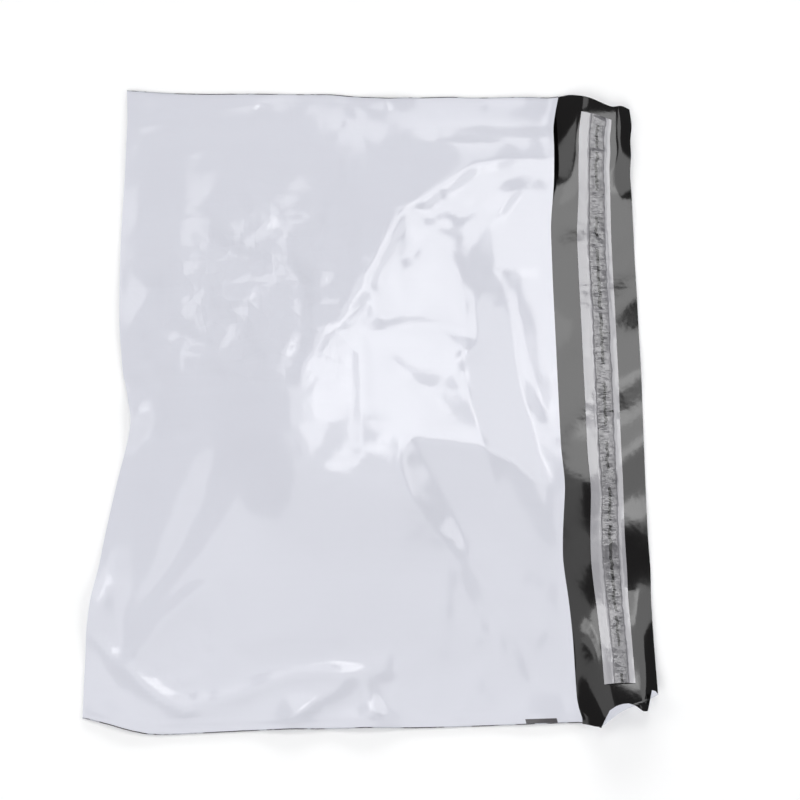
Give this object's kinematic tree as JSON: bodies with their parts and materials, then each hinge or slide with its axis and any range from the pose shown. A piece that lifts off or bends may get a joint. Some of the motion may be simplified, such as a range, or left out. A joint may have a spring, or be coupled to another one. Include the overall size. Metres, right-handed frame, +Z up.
{
  "type": "poly mailer bag",
  "caption": "Glossy white poly mailer lying on its back, open along one long edge, with a dark sealing lip that carries an adhesive band under a peel-off liner.",
  "frame": {"origin": "on the table under the centre of the bag's bounding box", "axes": "+X from the folded edge towards the open mouth and the lip, +Y along the mouth from one side weld to the other, +Z up from the back panel to the front panel"},
  "size_m": [0.4189, 0.533, 0.0262],
  "materials": {
    "white_film": "glossy co-extruded polyethylene film, white outside and black inside",
    "hot_melt_adhesive": "clear tacky hot-melt over the black inside of the lip",
    "release_liner": "clear silicone-coated film, glossy and crinkled"
  },
  "bodies": {
    "root": {"mailer_film": "white_film", "adhesive_strip": "hot_melt_adhesive", "release_liner": "release_liner"}
  },
  "joints": []
}
